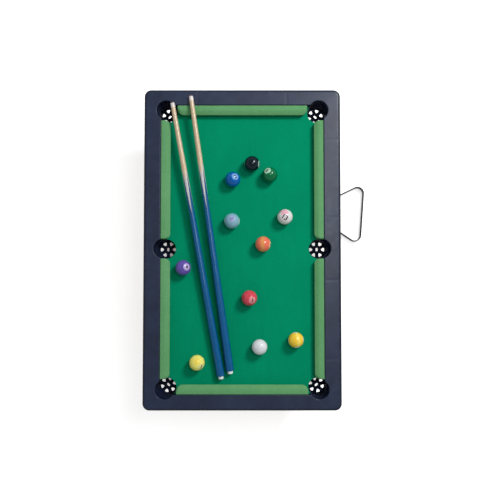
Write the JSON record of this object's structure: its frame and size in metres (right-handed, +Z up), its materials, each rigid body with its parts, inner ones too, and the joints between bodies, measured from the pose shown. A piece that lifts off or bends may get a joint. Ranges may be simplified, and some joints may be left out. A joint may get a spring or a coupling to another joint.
{
  "type": "tabletop pool table",
  "caption": "Small tabletop pool table on short legs, with a moulded frame, green cloth, cushions and pierced pocket baskets, and loose cues, balls and a triangular rack.",
  "frame": {"origin": "on the surface that the table stands on, midway between its four feet", "axes": "+Z up, +Y along the table towards its back rail, +X across it towards the side where the rack lies"},
  "size_m": [0.3786, 0.51, 0.1748],
  "materials": {
    "frame_plastic": "satin moulded, near black",
    "basket_plastic": "moulded, black",
    "leg_plastic": "satin moulded, black",
    "bed_board": "raw fibreboard",
    "bed_cloth": "short flock, dark green",
    "cushion_cloth": "short flock over a moulded strip, light green",
    "foot_rubber": "matt black",
    "screw_steel": "zinc plated",
    "cue_painted_wood": "clear lacquer over pale wood, blue lacquered butt with long points",
    "cue_ferrule_plastic": "white",
    "cue_tip_leather": "brown pressed leather",
    "cue_bumper_plastic": "white end bumper",
    "rack_plastic": "moulded, dark grey",
    "ball_ivory_white": "polished resin ball",
    "ball_yellow": "polished resin ball",
    "ball_blue": "polished resin ball",
    "ball_red": "polished resin ball",
    "ball_purple": "polished resin ball",
    "ball_orange": "polished resin ball",
    "ball_green": "polished resin ball",
    "ball_black": "polished resin ball",
    "ball_stripe_yellow": "polished resin ball",
    "ball_stripe_pale": "polished resin ball",
    "ball_stripe_white": "polished resin ball"
  },
  "bodies": {
    "table": {"top_frame": "frame_plastic", "bed_board": "bed_board", "bed_cloth": "bed_cloth", "cushion_back": "cushion_cloth", "cushion_front": "cushion_cloth", "cushion_left_back": "cushion_cloth", "cushion_left_front": "cushion_cloth", "cushion_right_back": "cushion_cloth", "cushion_right_front": "cushion_cloth", "pocket_basket_left_back": "basket_plastic", "pocket_basket_left_middle": "basket_plastic", "pocket_basket_left_front": "basket_plastic", "pocket_basket_right_back": "basket_plastic", "pocket_basket_right_middle": "basket_plastic", "pocket_basket_right_front": "basket_plastic", "leg_left_back": "leg_plastic", "leg_left_front": "leg_plastic", "leg_right_back": "leg_plastic", "leg_right_front": "leg_plastic", "foot_pad_left_back": "foot_rubber", "foot_pad_left_front": "foot_rubber", "foot_pad_right_back": "foot_rubber", "foot_pad_right_front": "foot_rubber", "bed_screws": "screw_steel", "basket_screws": "screw_steel", "cushion_screws": "screw_steel", "leg_screws": "screw_steel"},
    "cue_left": {"cue_left_shaft": "cue_painted_wood", "cue_left_ferrule": "cue_ferrule_plastic", "cue_left_tip": "cue_tip_leather", "cue_left_bumper": "cue_bumper_plastic"},
    "cue_right": {"cue_right_shaft": "cue_painted_wood", "cue_right_ferrule": "cue_ferrule_plastic", "cue_right_tip": "cue_tip_leather", "cue_right_bumper": "cue_bumper_plastic"},
    "ball_cue": {"ball_cue": "ball_ivory_white"},
    "ball_1_yellow": {"ball_1_yellow": "ball_yellow"},
    "ball_2_blue": {"ball_2_blue": "ball_blue"},
    "ball_3_red": {"ball_3_red": "ball_red"},
    "ball_4_purple": {"ball_4_purple": "ball_purple"},
    "ball_5_orange": {"ball_5_orange": "ball_orange"},
    "ball_6_green": {"ball_6_green": "ball_green"},
    "ball_8_black": {"ball_8_black": "ball_black"},
    "ball_stripe_yellow": {"ball_stripe_yellow": "ball_stripe_yellow"},
    "ball_stripe_pale": {"ball_stripe_pale": "ball_stripe_pale"},
    "ball_stripe_white": {"ball_stripe_white": "ball_stripe_white"},
    "rack": {"ball_rack": "rack_plastic"}
  },
  "joints": [
    {"name": "cue_left_lift", "type": "slide", "parent": "table", "child": "cue_left", "axis": [0, 0, 1], "range_m": [0, 0.12]},
    {"name": "cue_right_lift", "type": "slide", "parent": "table", "child": "cue_right", "axis": [0, 0, 1], "range_m": [0, 0.12]},
    {"name": "ball_cue_roll", "type": "slide", "parent": "table", "child": "ball_cue", "axis": [0, -1, 0], "range_m": [0, 0.046]},
    {"name": "ball_1_yellow_roll", "type": "slide", "parent": "table", "child": "ball_1_yellow", "axis": [-0.7741, -0.6331, 0], "range_m": [0, 0.034]},
    {"name": "ball_2_blue_roll", "type": "slide", "parent": "table", "child": "ball_2_blue", "axis": [0, 1, 0], "range_m": [0, 0.091]},
    {"name": "ball_3_red_roll", "type": "slide", "parent": "table", "child": "ball_3_red", "axis": [1, 0, 0], "range_m": [0, 0.09]},
    {"name": "ball_4_purple_roll", "type": "slide", "parent": "table", "child": "ball_4_purple", "axis": [0, -1, 0], "range_m": [0, 0.115]},
    {"name": "ball_5_orange_roll", "type": "slide", "parent": "table", "child": "ball_5_orange", "axis": [0.8, -0.6, 0], "range_m": [0, 0.07]},
    {"name": "ball_6_green_roll", "type": "slide", "parent": "table", "child": "ball_6_green", "axis": [1, 0, 0], "range_m": [0, 0.058]},
    {"name": "ball_8_black_roll", "type": "slide", "parent": "table", "child": "ball_8_black", "axis": [0, 1, 0], "range_m": [0, 0.066]},
    {"name": "ball_stripe_yellow_roll", "type": "slide", "parent": "table", "child": "ball_stripe_yellow", "axis": [0, -1, 0], "range_m": [0, 0.057]},
    {"name": "ball_stripe_pale_roll", "type": "slide", "parent": "table", "child": "ball_stripe_pale", "axis": [0, -1, 0], "range_m": [0, 0.075]},
    {"name": "ball_stripe_white_roll", "type": "slide", "parent": "table", "child": "ball_stripe_white", "axis": [0.5459, -0.8378, 0], "range_m": [0, 0.06]},
    {"name": "rack_pull_out", "type": "slide", "parent": "table", "child": "rack", "axis": [1, 0, 0], "range_m": [0, 0.15]}
  ]
}
